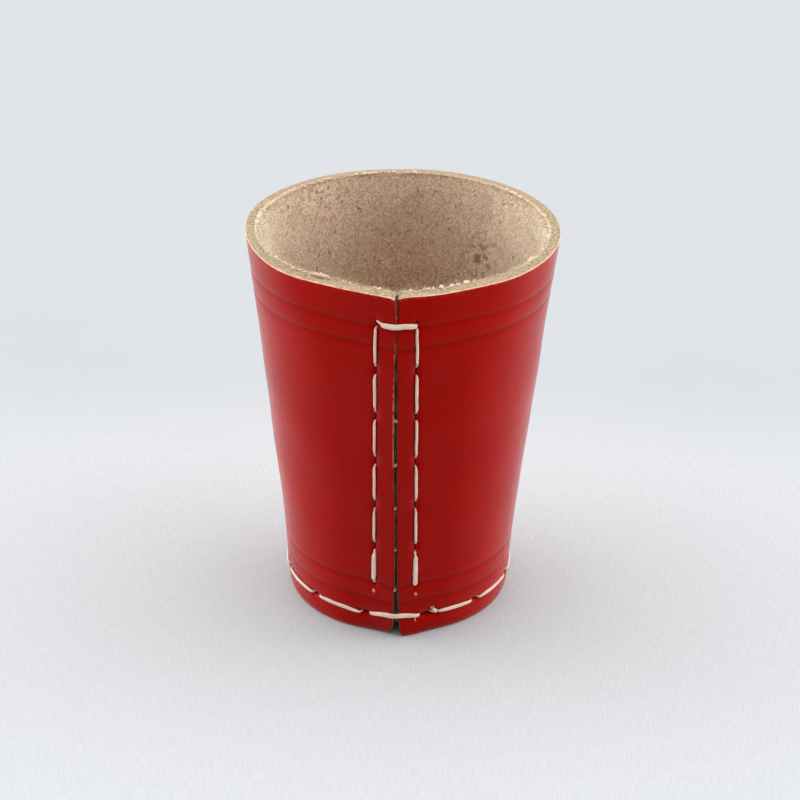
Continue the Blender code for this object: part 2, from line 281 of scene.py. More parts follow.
class Nodes:
    """Short ways to build a node tree."""

    def __init__(self, owner, coordinates):
        owner.use_nodes = True
        self.owner = owner
        self.tree = owner.node_tree
        self.place = self.add("ShaderNodeTexCoord").outputs[coordinates]

    def add(self, kind, **settings):
        node = self.tree.nodes.new(kind)
        for name, value in settings.items():
            setattr(node, name, value)
        return node

    def put(self, value, socket):
        if isinstance(value, bpy.types.NodeSocket):
            self.tree.links.new(value, socket)
        else:
            socket.default_value = value

    def give(self, node, **values):
        """Sets a node's sockets by their names, with _ for each space."""
        for name, value in values.items():
            self.put(value, node.inputs[name.replace("_", " ")])

    def attribute(self, name):
        return self.add("ShaderNodeAttribute", attribute_name=name).outputs["Fac"]

    def stretched(self, scale):
        mapping = self.add("ShaderNodeMapping")
        self.give(mapping, Vector=self.place, Scale=scale)
        return mapping.outputs["Vector"]

    def axes(self):
        parts = self.add("ShaderNodeSeparateXYZ")
        self.give(parts, Vector=self.place)
        return parts.outputs

    def noise(self, scale, detail=3.0, roughness=0.55, vector=None, distortion=0.0):
        node = self.add("ShaderNodeTexNoise")
        self.give(node, Vector=vector or self.place, Scale=scale, Detail=detail)
        self.give(node, Roughness=roughness, Distortion=distortion)
        return node.outputs["Fac"]

    def pebbles(self, scale):
        node = self.add("ShaderNodeTexVoronoi", feature="SMOOTH_F1")
        self.give(node, Vector=self.place, Scale=scale)
        return node.outputs["Distance"]

    def span(self, value, low, high, out_low=0.0, out_high=1.0):
        node = self.add("ShaderNodeMapRange", interpolation_type="SMOOTHSTEP")
        self.give(node, Value=value, From_Min=low, From_Max=high, To_Min=out_low, To_Max=out_high)
        return node.outputs["Result"]

    def math(self, operation, first, second=0.0):
        node = self.add("ShaderNodeMath", operation=operation)
        self.put(first, node.inputs[0])
        self.put(second, node.inputs[1])
        return node.outputs[0]

    def wandering(self, value, scale, detail, reach):
        """The value with noise added, so that a border drawn by it isn't straight."""
        noise = self.math("SUBTRACT", self.noise(scale, detail), 0.5)
        return self.math("ADD", value, self.math("MULTIPLY", noise, reach))

    def mix(self, share, first, second):
        node = self.add("ShaderNodeMix", data_type="RGBA")
        first_socket, second_socket = (socket for socket in node.inputs if socket.type == "RGBA")
        self.put(share, node.inputs["Factor"])
        self.put(self.colour(first), first_socket)
        self.put(self.colour(second), second_socket)
        return next(socket for socket in node.outputs if socket.type == "RGBA")

    @staticmethod
    def colour(value):
        return (*value, 1) if isinstance(value, tuple) and len(value) == 3 else value

    def bump(self, height, distance, strength=1.0, normal=None):
        node = self.add("ShaderNodeBump")
        self.give(node, Height=height, Distance=distance, Strength=strength)
        if normal is not None:
            self.give(node, Normal=normal)
        return node.outputs["Normal"]

    def finish(self, colour, roughness, normal=None, **fixed):
        shader = self.tree.nodes["Principled BSDF"]
        self.give(shader, Base_Color=colour, Roughness=roughness, **fixed)
        if normal is not None:
            self.give(shader, Normal=normal)
        return self.owner


def material_nodes(name, colour):
    material = bpy.data.materials.new(name)
    material.diffuse_color = (*colour, 1)
    return Nodes(material, "Object")


# Colours are linear red, green and blue
RED = (0.285, 0.0024, 0.0004)
RED_DEEP = (0.25, 0.0018, 0.0003)
RED_PALE = (0.35, 0.022, 0.013)
# Painted shade: a darker red laid over the front round the seam, which faces the dim side of the lights
RED_FRONT_PAINTED_SHADE = (0.19, 0.0012, 0.0002)
# A saturated pigment: its straight reflection keeps the red, and only the grazing one is white
RED_GLOSS_TINT = (1.0, 0.02, 0.0, 1)


def red_leather():
    """Pigmented hide, smooth from the press, with a fine grain and soft blotches, and painted shade in its
    hollows and over its front.
    """
    n = material_nodes("red_leather", RED)
    cloudy = n.mix(n.span(n.noise(70, 3), 0.3, 0.72), RED_DEEP, RED)
    # Painted shade: the red darkens towards the front, round the seam
    deeper = n.mix(n.attribute("deeper"), cloudy, RED_FRONT_PAINTED_SHADE)
    mottled = n.mix(n.span(n.noise(1900, 3), 0.45, 0.75, 0, 0.08), deeper, RED_PALE)
    rubbed = n.math("MULTIPLY", n.attribute("worn"), n.span(n.noise(800, 4), 0.42, 0.62))
    scuffed = n.mix(rubbed, mottled, (0.66, 0.16, 0.11))
    torn = n.mix(n.attribute("pricked"), scuffed, (0.90, 0.40, 0.34))
    # Painted shade darkens the creases and the slits beside the stitches
    shaded = n.mix(n.attribute("pressed"), torn, (0.03, 0.0004, 0.0002))
    coarse = n.math("MULTIPLY", n.pebbles(1900), 0.7)
    grain = n.math("ADD", coarse, n.math("MULTIPLY", n.noise(4200, 3), 0.5))
    normal = n.bump(grain, 0.00008, 0.5)
    soft = n.bump(n.noise(520, 3), 0.0003, 0.22, normal)
    roughness = n.span(n.noise(340, 4), 0.3, 0.75, 0.20, 0.27)
    return n.finish(shaded, roughness, soft, Specular_Tint=RED_GLOSS_TINT, Specular_IOR_Level=0.24)


def cut_edge():
    """The raw cut of the hide: a line under the grain, pale in front and brown behind, then tan fibres."""
    n = material_nodes("cut_edge", (0.36, 0.24, 0.13))
    wander = n.wandering(n.attribute("depth"), 600, 4, 0.14)
    fibre = n.noise(1350, 5, 0.62)
    tan = n.mix(n.span(fibre, 0.38, 0.62), (0.14, 0.10, 0.042), (0.33, 0.24, 0.125))
    behind = n.span(n.attribute("rosy"), 0.05, 0.35)
    tan = n.mix(n.math("MULTIPLY", behind, 0.6), tan, (0.24, 0.145, 0.07))
    lip = n.mix(behind, (0.80, 0.42, 0.31), (0.17, 0.09, 0.045))
    near_grain = n.mix(n.span(wander, -0.01, 0.08), lip, tan)
    near_flesh = n.mix(n.span(wander, 0.74, 0.98), near_grain, (0.50, 0.39, 0.24))
    normal = n.bump(n.noise(2600, 5, 0.7), 0.00025, 0.9)
    return n.finish(near_flesh, 0.85, normal, Sheen_Weight=0.1)


def stained_edge():
    """The ends of the wall beside the seam: cut hide, stained dark, and darkest right under the grain."""
    n = material_nodes("stained_edge", (0.07, 0.03, 0.015))
    fibre = n.noise(1300, 5, 0.65)
    dark = n.mix(n.span(fibre, 0.35, 0.7), (0.09, 0.038, 0.015), (0.28, 0.14, 0.065))
    wander = n.wandering(n.attribute("depth"), 400, 3, 0.3)
    colour = n.mix(n.span(wander, 0.02, 0.12), (0.10, 0.03, 0.015), dark)
    normal = n.bump(n.noise(2600, 5, 0.7), 0.00025, 0.9)
    return n.finish(colour, 0.85, normal)


def suede():
    """The raw flesh side: short matted fibres, mottled beige, with dark flecks."""
    n = material_nodes("suede", (0.5, 0.36, 0.25))
    patch = n.noise(50, 5, 0.62, distortion=0.7)
    body = n.mix(n.span(patch, 0.34, 0.66), (0.51, 0.385, 0.235), (0.77, 0.65, 0.445))
    body = n.mix(n.math("MULTIPLY", n.attribute("rosy"), 0.92), body, (0.52, 0.235, 0.13))
    lint = n.noise(820, 5, 0.68, distortion=2.4)
    # Painted shade between the fibres and a painted highlight on the raised ones
    between = n.mix(0.36, body, (0.20, 0.11, 0.06))
    raised = n.mix(0.45, body, (0.90, 0.76, 0.58))
    fibres = n.mix(n.span(lint, 0.38, 0.62), between, raised)
    flecks = n.span(n.noise(1000, 3, 0.55, n.stretched((1, 1, 0.5)), 0.8), 0.645, 0.70)
    specked = n.mix(n.math("MULTIPLY", flecks, 0.8), fibres, (0.13, 0.055, 0.03))
    inked = n.span(n.noise(760, 4), 0.5, 0.62)
    stained = n.mix(n.math("MULTIPLY", n.attribute("pink"), inked), specked, (0.42, 0.085, 0.07))
    rusty = n.span(n.noise(620, 4, 0.6), 0.46, 0.62)
    browned = n.mix(n.math("MULTIPLY", n.attribute("rust"), rusty), stained, (0.24, 0.085, 0.03))
    # Darker over the base flange's outer side
    darkened = n.mix(n.math("MULTIPLY", n.attribute("stained"), 0.85), browned, (0.10, 0.045, 0.025))
    height = n.math("ADD", n.noise(900, 6, 0.75), n.math("MULTIPLY", lint, 0.8))
    normal = n.bump(height, 0.0006, 1.0)
    return n.finish(darkened, 0.92, normal, Sheen_Weight=0.2, Sheen_Roughness=0.6)


def lint_material(name, colour, pale):
    """Loose fibres of the hide, each a little different along its length."""
    n = material_nodes(name, colour)
    return n.finish(n.mix(n.span(n.noise(900, 2), 0.35, 0.65), colour, pale), 0.9, None, Sheen_Weight=0.1)


def thread_material():
    """Flat waxed thread: cream, a little glossy, with fibres along it."""
    n = material_nodes("waxed_thread", (0.75, 0.6, 0.5))
    along = n.add("ShaderNodeCombineXYZ")
    n.put(n.math("MULTIPLY", n.attribute("along"), 300.0), along.inputs["X"])
    n.put(n.math("MULTIPLY", n.attribute("round"), 11.0), along.inputs["Y"])
    strands = n.noise(1.0, 4, 0.65, along.outputs["Vector"])
    base = n.mix(n.span(strands, 0.3, 0.62), (0.36, 0.245, 0.185), (0.62, 0.475, 0.39))
    soiled = n.mix(n.span(n.noise(260, 4), 0.42, 0.72, 0, 0.6), base, (0.50, 0.33, 0.25))
    normal = n.bump(strands, 0.0001, 0.7)
    return n.finish(soiled, 0.55, normal, Sheen_Weight=0.1)


# ---- The wall


def spaced(*stretches):
    """Positions along a line from stretches of (start, end, step); each stretch includes its start."""
    parts = [np.arange(round((end - start) / step)) * step + start for start, end, step in stretches]
    return np.concatenate(parts + [[stretches[-1][1]]])


def wall_columns():
    """Ways from an end of the wall to the back at half height, finer beside the seam and at base holes."""
    near = spaced((0, 0.6, 0.12), (0.6, 4.2, 0.3), (4.2, 6.8, 0.11), (6.8, 12, 0.4), (12, 15, 0.6)) * MM
    middle = HEIGHT / 2
    end = half_girth(middle)
    far = [near[-1]]
    holes = along_of_turn(2 * math.pi * (np.arange(6) + 0.5) / BASE_HOLES, middle)
    while far[-1] < end - 0.4 * MM:
        nearest = np.abs(holes - far[-1]).min()
        far.append(far[-1] + (0.42 * MM if nearest < 3.4 * MM else 1.3 * MM))
    far[-1] = end
    return np.concatenate([near, far[1:]])


def wall_row_heights():
    """Heights of the rows of the grain side, finer at slits, creases and the base's stitches."""
    heights = [0.35 * MM]
    rows = seam_rows()
    top = HEIGHT - 0.35 * MM
    while heights[-1] < top - 0.12 * MM:
        here = heights[-1]
        step = 0.95 * MM
        if np.abs(rows - here).min() < 2.6 * MM:
            step = 0.46 * MM
        if min(abs(here - crease) for crease in CREASE_HEIGHTS) < 1.0 * MM:
            step = 0.2 * MM
        if abs(here - BASE_ROW) < 1.1 * MM:
            step = 0.13 * MM
        heights.append(here + step)
    heights[-1] = top
    return np.array(heights)


ROUND = 0.25 * MM  # radius of the cut edges' corners
GRAIN, EDGE, FLESH, BUTT = range(4)


def wall_profile():
    """The wall's section, a closed loop of (height, depth, material), up the grain side and down inside."""
    grain = [(height, 0.0, GRAIN) for height in wall_row_heights()]
    quarter = [math.radians(angle) for angle in (30, 60, 90)]
    outer_top, inner_top = [], []
    for angle in quarter:
        outer_top.append((HEIGHT - ROUND * (1 - math.sin(angle)), ROUND * (1 - math.cos(angle)), EDGE))
    top = [(HEIGHT, depth, EDGE) for depth in np.linspace(ROUND, LEATHER - ROUND, 9)[1:-1]]
    for angle in [0] + quarter:
        depth = LEATHER - ROUND * (1 - math.sin(angle))
        inner_top.append((HEIGHT - ROUND * (1 - math.cos(angle)), depth, EDGE))
    flesh_heights = spaced((HEIGHT - ROUND - 0.1 * MM, 0.4 * MM, -1.45 * MM))
    flesh = [(height, LEATHER, FLESH) for height in flesh_heights]
    foot = [(0.0, depth, EDGE) for depth in np.linspace(LEATHER - ROUND, ROUND, 6)]
    outer_foot = [(0.1 * MM, 0.1 * MM, EDGE)]
    return grain + outer_top + top + inner_top + flesh + foot + outer_foot


def slit(across, length, half_width, half_length):
    """1 inside a narrow pointed slit, falling to 0 just outside it."""
    taper = np.sqrt(np.clip(1 - (length / half_length) ** 2, 0, 1))
    width = np.maximum(half_width * taper, 1e-6)
    inside = np.clip(1.4 - np.abs(across) / width, 0, 1)
    return inside * (taper > 0)


def press_creases(relief, pressed, side, along, height):
    for crease in CREASE_HEIGHTS:
        line = crease + 0.15 * MM * np.sin(along / (11 * MM) + crease * 900 + side)
        relief += 0.13 * MM * bump(height, line, 0.8 * MM)
        # Painted shade along the crease, just above its middle
        pressed += 0.24 * bump(height, line + 0.1 * MM, 0.6 * MM)


# The slits beside the seam: middle over their row, half length and half width
TOP_SLIT = (-0.1 * MM, 0.9 * MM, 0.2 * MM)
SEAM_SLIT = (0.2 * MM, 1.9 * MM, 0.11 * MM)
LAST_SLIT = (1.0 * MM, 1.2 * MM, 0.1 * MM)


def press_seam_holes(relief, pressed, along, height):
    """A shallow channel under the stitches, and at each row a dimple with a slit for the thread, the slit
    darkened with painted shade.
    """
    margin = seam_margin(height)
    rows = seam_rows()
    stitched = smooth_step(rows[-1], rows[-1] + 3 * MM, height)
    stitched = stitched * (1 - smooth_step(TOP_ROW - 1 * MM, TOP_ROW, height))
    relief += 0.20 * MM * bump(along, margin, 0.7 * MM) * stitched
    slits = [TOP_SLIT] + [SEAM_SLIT] * (SEAM_ROWS - 2) + [LAST_SLIT]
    for row, (middle, reach, half_width) in zip(rows, slits):
        down = height - row
        relief += 0.26 * MM * bump(along, margin, 1.2 * MM) * bump(down, middle, 2.0 * MM)
        hole = slit(along - margin, down - middle, half_width, reach)
        relief += 0.45 * MM * hole
        # Painted shade inside the slit
        np.maximum(pressed, 0.35 * hole, out=pressed)


def press_base_holes(relief, pressed, side, along, height):
    """A shallow channel along the base's stitches, and a dimple with a slit at each hole, the slit darkened
    with painted shade.
    """
    for number in range(BASE_HOLES // 2):
        place = along_of_turn(2 * math.pi * (number + 0.5) / BASE_HOLES, BASE_ROW)
        reach = 1.7 * MM
        if number == 0 and side > 0:
            place, reach = place + 0.5 * FIRST_HOLE_REACH, reach + 0.5 * FIRST_HOLE_REACH
        hole = slit(height - BASE_ROW, along - place, 0.28 * MM, reach)
        relief += 1.3 * MM * hole
        relief += 0.25 * MM * bump(height, BASE_ROW, 1.1 * MM) * bump(along, place, 2.0 * MM)
        # Painted shade inside the slit
        np.maximum(pressed, hole, out=pressed)
    relief += 0.16 * MM * bump(height, BASE_ROW, 0.8 * MM)


def rounded_off(distance, reach, depth):
    """How much is worn off an edge: the depth at the edge itself, falling to nothing at its reach."""
    near = np.clip(1 - distance / reach, 0, 1)
    return depth * (1 - np.sqrt(1 - near**2))


def wall_relief(side, along, height, from_edge, rng):
    """How deep the grain side is pushed in at each point, and how dark its hollows are painted as shade."""
    relief = np.zeros_like(along)
    pressed = np.zeros_like(along)
    press_creases(relief, pressed, side, along, height)
    press_seam_holes(relief, pressed, along, height)
    press_base_holes(relief, pressed, side, along, height)
    relief += rounded_off(from_edge, 0.5 * MM, 0.4 * MM)
    relief += rounded_off(height, 1.1 * MM, 0.8 * MM)
    relief += 0.07 * MM * ripple(rng, along * side, height, 22 * MM)
    return relief, np.clip(pressed, 0, 1)


PRICK_LEFT, PRICK_RIGHT = 13.8 * MM, 13.1 * MM


def prick(side, along, height):
    """A small torn awl mark under the last stitch of each side."""
    middle = PRICK_LEFT if side < 0 else PRICK_RIGHT
    return bump(height, middle, 0.33 * MM) * bump(along, SEAM_MARGIN_FOOT + 0.15 * MM, 0.28 * MM)


def wall_start(side, height, share):
    """Way from the ridge to the end of the wall; both bottom corners are cut off, the left one more."""
    grain = np.interp(height, GAP_HEIGHTS, GAP_WIDTHS)
    flesh = np.minimum(grain, SLACK + 1.4 * MM * np.clip(1 - height / (12 * MM), 0, 1))
    gap = blend(grain, flesh, smooth_step(0.15, 1.0, share))
    drift = np.minimum(GAP_DRIFT * (1 - 0.8 * smooth_step(5 * MM, 60 * MM, height)), gap / 2 - 0.03 * MM)
    half = gap / 2 + side * drift
    if side < 0:
        half = half + 1.3 * MM * np.clip(1 - height / (1.9 * MM), 0, 1) ** 1.2
    else:
        half = half + 0.5 * MM * np.clip(1 - height / (1.3 * MM), 0, 1) ** 1.6
    angle = flat_angle_at(height)
    return (half + share * LEATHER * np.sin(angle)) / np.cos(angle)


def wall_side(side, profile, columns, rng):
    """Points of one half of the wall from the seam to the back, with the values its materials read."""
    height = np.array([item[0] for item in profile])[:, None]
    share = np.array([item[1] for item in profile])[:, None] / LEATHER
    start = wall_start(side, height, share)
    end = half_girth(height)
    # Columns keep their way from the edge beside the seam, and spread evenly beyond
    near = 15 * MM
    spread = near + (columns[None, :] - near) * (end - start - near) / (columns[-1] - near)
    from_edge = np.where(columns[None, :] < near, columns[None, :] + 0 * height, spread)
    along = start + from_edge
    tall = height + 0 * along
    relief, pressed = wall_relief(side, along, tall, from_edge, rng)
    on_grain = np.clip(1 - share * 2.5, 0, 1)
    fluff = 0.06 * MM * ripple(rng, along * side, tall, 5 * MM) * share
    points = wall_point(side, along, tall, share * LEATHER + relief * on_grain + fluff)
    wave = 0.20 * MM * ripple(rng, along * side / 3, 0 * tall, 25 * MM, 5) * (tall / HEIGHT) ** 8
    notch = 0.35 * MM * np.clip(1 - from_edge / (1.5 * MM), 0, 1) ** 2 * (tall / HEIGHT) ** 30
    points[..., 2] += wave - notch
    worn = 0.5 * np.clip(1 - (HEIGHT - tall) / (0.5 * MM), 0, 1)
    if side < 0:
        rubbed = smooth_step(40 * MM, 60 * MM, tall) * (1 - smooth_step(86 * MM, 91 * MM, tall))
        worn = np.maximum(worn, 0.8 * np.clip(1 - from_edge / (0.25 * MM), 0, 1) * rubbed)
    pricked = prick(side, along, tall)
    return points, share + 0 * along, pressed * on_grain, worn * on_grain, pricked * on_grain


def patch_at(turn, height, middle_turn, middle_height, turn_reach, height_reach):
    return bump(turn, middle_turn, turn_reach) * bump(height, middle_height, height_reach)


def wall_piece(materials):
    profile = wall_profile()
    columns = wall_columns()
    rows = len(profile)
    left = wall_side(-1, profile, columns, np.random.default_rng(SEED))
    right = wall_side(1, profile, columns, np.random.default_rng(SEED + 1))
    # Both halves share the column at the back
    joined = []
    for one, other in zip(left, right):
        back = (one[:, -1:] + other[:, -1:]) / 2
        joined.append(np.concatenate([one[:, :-1], back, other[:, -2::-1]], axis=1))
    points, share, pressed, worn, pricked = joined
    width = points.shape[1]
    faces = grid_faces(rows, width, rows_closed=True)
    kinds = np.array([item[2] for item in profile])
    face_kind = np.repeat(np.where(kinds == np.roll(kinds, -1), kinds, EDGE), width - 1)
    ends = butt_faces(profile, 0, width) + [face[::-1] for face in butt_faces(profile, width - 1, width)]
    mesh = new_mesh("wall", points, faces + ends)
    turn = np.degrees(np.arctan2(points[..., 0], AXIS_Y - points[..., 1]))
    height = points[..., 2]
    add_attributes(
        mesh,
        depth=share,
        # painted shade in the creases and the slits
        pressed=pressed,
        worn=worn,
        pricked=pricked,
        pink=patch_at(turn, height, -142, 95 * MM, 13, 6 * MM),
        rust=patch_at(turn, height, 144, 80 * MM, 9, 8 * MM),
        rosy=bump(np.abs(turn), 180, 66) * (1 - 0.4 * smooth_step(70 * MM, HEIGHT, height)),
        # painted shade on the front, strongest at the seam
        deeper=0.8 * bump(turn, 0, 34),
    )
    wall = link("leather_wall", mesh, materials, "red_leather")
    set_materials(mesh, np.concatenate([face_kind, np.full(len(ends), BUTT)]))
    mesh.update()
    mesh.set_sharp_from_angle(angle=math.radians(60))
    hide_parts("cup_wall")


def butt_faces(profile, column, width):
    """Faces that close an end of the wall: triangles between its grain and flesh rows, and two caps."""
    kinds = [item[2] for item in profile]
    heights = [item[0] for item in profile]
    grain = [row for row, kind in enumerate(kinds) if kind == GRAIN]
    flesh = [row for row, kind in enumerate(kinds) if kind == FLESH][::-1]
    faces = []
    first, second = 0, 0
    while first < len(grain) - 1 or second < len(flesh) - 1:
        grain_next = heights[grain[first + 1]] if first < len(grain) - 1 else math.inf
        flesh_next = heights[flesh[second + 1]] if second < len(flesh) - 1 else math.inf
        if grain_next <= flesh_next:
            faces.append([grain[first], grain[first + 1], flesh[second]])
            first += 1
        else:
            faces.append([grain[first], flesh[second + 1], flesh[second]])
            second += 1
    faces.append(list(range(grain[-1], flesh[-1] + 1)))
    faces.append(list(range(flesh[0], len(profile))) + [grain[0]])
    return [[row * width + column for row in face] for face in faces]


# ---- Loose fibres of the hide


def fibres(name, roots, heads, bends, thick, materials, kinds, slot):
    """Many short tapered hairs, each from its root along its head and curling by its bend."""
    steps = np.linspace(0, 1, 4)
    across = steps[None, :, None]
    centre = roots[:, None] + heads[:, None] * across + bends[:, None] * across**2
    ahead = unit(np.gradient(centre, axis=1))
    side = unit(np.cross(ahead, np.array([0.31, 0.52, 0.79])))
    up = np.cross(ahead, side)
    angle = 2 * math.pi * np.arange(3) / 3
    radius = (thick[:, None] * (1 - 0.8 * steps[None, :]))[..., None, None]
    ring = np.cos(angle)[:, None] * side[:, :, None] + np.sin(angle)[:, None] * up[:, :, None]
    points = centre[:, :, None] + radius * ring
    one = grid_faces(4, 3, columns_closed=True) + [[2, 1, 0], [9, 10, 11]]
    faces = [[corner + 12 * number for corner in face] for number in range(len(roots)) for face in one]
    mesh = new_mesh(name, points, faces)
    link(name, mesh, materials, slot)
    set_materials(mesh, np.repeat(kinds, len(one)))


def random_ways(rng, count):
    return unit(rng.normal(0, 1, (count, 3)))


def inner_places(rng, count, height, depth):
    """Random places on the wall, evenly spread round it, with their directions inward."""
    side = np.where(rng.random(count) < 0.5, -1.0, 1.0)
    start = wall_start(1, height, depth / LEATHER)
    along = blend(start + 0.1 * MM, half_girth(height), rng.random(count))
    place = np.empty((count, 3))
    inward = np.empty((count, 3))
    for value in (-1.0, 1.0):
        chosen = side == value
        place[chosen] = wall_point(value, along[chosen], height[chosen], depth[chosen])
        deeper = wall_point(value, along[chosen], height[chosen], depth[chosen] + MM)
        inward[chosen] = unit(deeper - place[chosen])
    return place, inward


def rim_fibres(materials):
    """Frayed hairs along the inner edge of the rim."""
    rng = np.random.default_rng(SEED + 5)
    count = 4600
    height = HEIGHT - rng.uniform(-0.1, 0.7, count) * MM
    depth = LEATHER - rng.uniform(-0.05, 0.5, count) * MM
    place, inward = inner_places(rng, count, height, depth)
    length = rng.uniform(0.3, 1.1, count)[:, None] * MM
    inwards = inward * rng.uniform(0.1, 1.0, (count, 1))
    upwards = UPWARD * rng.uniform(0.0, 0.9, (count, 1))
    heads = unit(inwards + upwards + 0.8 * random_ways(rng, count)) * length
    bends = random_ways(rng, count) * length * 0.5
    thick = rng.uniform(0.04, 0.075, count) * MM
    fibres("rim_fibres", place, heads, bends, thick, materials, np.zeros(count), "red_leather")


def flesh_fibres(materials):
    """Short hairs lying on the flesh side, some of them dark."""
    rng = np.random.default_rng(SEED + 6)
    count = 6500
    height = HEIGHT - 82 * MM * rng.random(count) ** 1.5 - 0.8 * MM
    place, inward = inner_places(rng, count, height, np.full(count, LEATHER - 0.03 * MM))
    length = rng.uniform(0.5, 1.6, count)[:, None] * MM
    heads = unit(inward * rng.uniform(0.05, 0.4, (count, 1)) + random_ways(rng, count)) * length
    heads += inward * np.abs((heads * inward).sum(1, keepdims=True))
    bends = random_ways(rng, count) * length * 0.35 - inward * length * 0.25
    dark = rng.random(count) < 0.16
    thick = rng.uniform(0.035, 0.065, count) * MM
    fibres("flesh_fibres", place, heads, bends, thick, materials, dark, "red_leather")


def rim_burr(material):
    """The ragged lip along the rim's inner edge."""
    rng = np.random.default_rng(SEED + 7)
    step = 0.2 * MM
    below_surface = 0.12 * MM
    top = HEIGHT - below_surface
    start, end = float(wall_start(1, top, 0.95)) + 0.15 * MM, float(half_girth(top))
    half = np.linspace(start, end, int((end - start) / step))
    height, depth = np.full_like(half, top), np.full_like(half, LEATHER - below_surface)
    left = wall_point(-1, half, height, depth)
    right = wall_point(1, half[::-1], height, depth)
    centre = np.concatenate([left, right[1:]])
    count = len(centre)
    inward = unit(stack(-centre[:, 0], AXIS_Y - centre[:, 1], 0 * centre[:, 0]))
    at = np.arange(count)
    ragged = rough_line(rng, at * step, (0.5, 5), (0.45, 1.1), (0.45, 0.45))
    lean = rough_line(rng, at * step, (0.6, 1.9), (0.4, 0.6))
    size = np.maximum(0.17 + 0.42 * ragged, 0.05) * MM
    centre = centre + inward * (0.26 * lean * MM)[:, None] + UPWARD * (0.25 * ragged * MM)[:, None]
    sides = 8
    angle = 2 * math.pi * np.arange(sides) / sides
    rough = 1 + 0.35 * rng.uniform(-1, 1, (count, sides))
    ring = np.cos(angle)[None, :, None] * inward[:, None] + np.sin(angle)[None, :, None] * UPWARD
    ends = np.minimum(1, np.minimum(at, count - 1 - at) / 6 + 0.25)
    points = centre[:, None] + ring * (size * ends)[:, None, None] * rough[..., None]
    faces = grid_faces(count, sides, columns_closed=True)
    faces += [list(range(sides))[::-1], list(range((count - 1) * sides, count * sides))]
    link("rim_burr", new_mesh("rim_burr", points, faces), [material], "red_leather")


# ---- The base, a disc turned down at its edge and sewn in, flesh side up


FLOOR_HEIGHT = 14 * MM
FLANGE_FOOT = 2.5 * MM
BASE_BEND = 3.0 * MM
INNER_BEND = 0.8 * MM
NOSE_RADIUS = 3.4 * MM
UNDERSIDE = FLOOR_HEIGHT - BASE_LEATHER
BASE_FLESH, BASE_GRAIN, BASE_CUT = range(3)


def base_place(turn, inset, height):
    """Point of the base by its angle round the cup, its inset from the flange's outer side and its height."""
    radius = radius_at(height) - LEATHER - CLEARANCE
    angle = flat_angle_at(height)
    out = stack(np.sin(turn), -np.cos(turn), 0 * turn)
    axis = stack(0 * turn, AXIS_Y + 0 * turn, height)
    nose = stack(0 * turn, AXIS_Y - (radius - NOSE_RADIUS) / np.cos(angle), height)
    round_part = axis + out * (radius - inset)[..., None]
    nose_part = nose + out * (NOSE_RADIUS - inset)[..., None]
    # Between the nose and the round part the flat joins them
    return rolled(np.where((np.abs(turn) >= angle)[..., None], round_part, nose_part))


def flange_section():
    """The flange's outer side, its cut foot and its inner side, as lists of (inset, height)."""
    bend = [math.radians(angle) for angle in range(0, 91, 10)]
    round_top = FLOOR_HEIGHT - BASE_BEND
    low = FLANGE_FOOT + 0.3 * MM
    outer = [(BASE_BEND * (1 - math.sin(q)), round_top + BASE_BEND * math.cos(q)) for q in bend]
    outer += [(0.0, height) for height in np.linspace(round_top, low, 12)[1:]]
    foot = [(share * BASE_LEATHER, FLANGE_FOOT) for share in (0.12, 0.3, 0.5, 0.7, 0.88)]
    inner = [(BASE_LEATHER, height) for height in np.linspace(low, UNDERSIDE - INNER_BEND, 10)]
    for q in bend[1::2]:
        inset = BASE_LEATHER + INNER_BEND * (1 - math.cos(q))
        inner.append((inset, UNDERSIDE - INNER_BEND * (1 - math.sin(q))))
    return outer, foot, inner


def base_rings(turns):
    """The base as rings from the middle of its floor over the flange to the middle of its underside."""
    rings, kinds = [], []
    outer, foot, inner = flange_section()
    factors = np.array([0.97, 0.9, 0.8, 0.68, 0.55, 0.42, 0.3, 0.18, 0.08])
    middle = np.array([0, AXIS_Y, 0])

    def ring_at(inset, height):
        return base_place(turns, np.full(len(turns), inset), np.full(len(turns), height))

    def add(more, kind):
        rings.extend(more)
        kinds.extend([kind] * len(more))

    def shrunk(ring, order):
        return [(ring - middle) * [factor, factor, 1] + middle for factor in order]

    add(shrunk(ring_at(BASE_BEND, FLOOR_HEIGHT), factors[::-1]), BASE_FLESH)
    add([ring_at(*place) for place in outer], BASE_FLESH)
    add([ring_at(*place) for place in foot], BASE_CUT)
    add([ring_at(*place) for place in inner], BASE_GRAIN)
    add(shrunk(ring_at(BASE_LEATHER + INNER_BEND, UNDERSIDE), factors), BASE_GRAIN)
    return np.array(rings), np.array(kinds)


